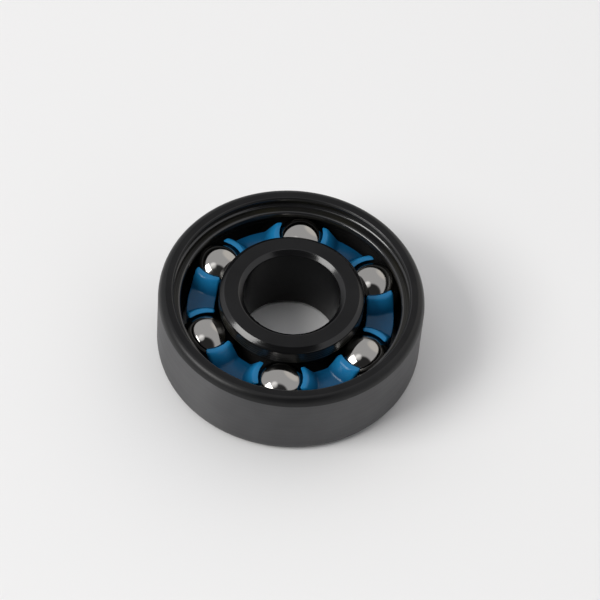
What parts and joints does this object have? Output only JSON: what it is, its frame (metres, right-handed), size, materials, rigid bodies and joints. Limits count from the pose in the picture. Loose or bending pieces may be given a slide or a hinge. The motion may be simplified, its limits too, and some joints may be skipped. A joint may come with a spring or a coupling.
{
  "type": "deep groove ball bearing",
  "caption": "Deep groove ball bearing with black rings, polished balls and a blue snap-in crown cage, open on its upper face.",
  "frame": {"origin": "centre of the lower side face, on the shaft's axis", "axes": "+Z along the shaft's axis, towards the open upper face; +X and +Y lie in the lower side face"},
  "size_m": [0.022, 0.022, 0.007],
  "materials": {
    "black_oxide_steel": "black oxide over ground steel, satin, with a thin oil film",
    "polished_ball_steel": "lapped to a mirror",
    "blue_polymer": "injection moulded, half gloss",
    "seal_rubber": "moulded nitrile rubber, matt",
    "seal_insert_steel": "bare pressed sheet"
  },
  "bodies": {
    "outer_ring": {"outer_ring": "black_oxide_steel", "rear_seal_rubber": "seal_rubber", "rear_seal_insert": "seal_insert_steel"},
    "inner_ring": {"inner_ring": "black_oxide_steel"},
    "cage": {"ball_cage": "blue_polymer"},
    "ball_1": {"ball_1": "polished_ball_steel"},
    "ball_2": {"ball_2": "polished_ball_steel"},
    "ball_3": {"ball_3": "polished_ball_steel"},
    "ball_4": {"ball_4": "polished_ball_steel"},
    "ball_5": {"ball_5": "polished_ball_steel"},
    "ball_6": {"ball_6": "polished_ball_steel"}
  },
  "joints": [
    {"name": "inner_ring_spin", "type": "hinge", "parent": "outer_ring", "child": "inner_ring", "pos_m": [0, 0, 0.0035], "axis": [0, 0, 1], "continuous": true},
    {"name": "cage_orbit", "type": "hinge", "parent": "outer_ring", "child": "cage", "pos_m": [0, 0, 0.0035], "axis": [0, 0, 1], "continuous": true},
    {"name": "ball_1_spin", "type": "hinge", "parent": "cage", "child": "ball_1", "pos_m": [0.00666, 0.00344, 0.0035], "axis": [0, 0, 1], "continuous": true},
    {"name": "ball_2_spin", "type": "hinge", "parent": "cage", "child": "ball_2", "pos_m": [0.00035, 0.00749, 0.0035], "axis": [0, 0, 1], "continuous": true},
    {"name": "ball_3_spin", "type": "hinge", "parent": "cage", "child": "ball_3", "pos_m": [-0.00631, 0.00405, 0.0035], "axis": [0, 0, 1], "continuous": true},
    {"name": "ball_4_spin", "type": "hinge", "parent": "cage", "child": "ball_4", "pos_m": [-0.00666, -0.00344, 0.0035], "axis": [0, 0, 1], "continuous": true},
    {"name": "ball_5_spin", "type": "hinge", "parent": "cage", "child": "ball_5", "pos_m": [-0.00035, -0.00749, 0.0035], "axis": [0, 0, 1], "continuous": true},
    {"name": "ball_6_spin", "type": "hinge", "parent": "cage", "child": "ball_6", "pos_m": [0.00631, -0.00405, 0.0035], "axis": [0, 0, 1], "continuous": true}
  ],
  "couplings": [
    {"joint": "cage_orbit", "follows": "inner_ring_spin", "ratio": 0.34127},
    {"joint": "ball_1_spin", "follows": "inner_ring_spin", "ratio": -1.4162},
    {"joint": "ball_2_spin", "follows": "inner_ring_spin", "ratio": -1.4162},
    {"joint": "ball_3_spin", "follows": "inner_ring_spin", "ratio": -1.4162},
    {"joint": "ball_4_spin", "follows": "inner_ring_spin", "ratio": -1.4162},
    {"joint": "ball_5_spin", "follows": "inner_ring_spin", "ratio": -1.4162},
    {"joint": "ball_6_spin", "follows": "inner_ring_spin", "ratio": -1.4162}
  ]
}
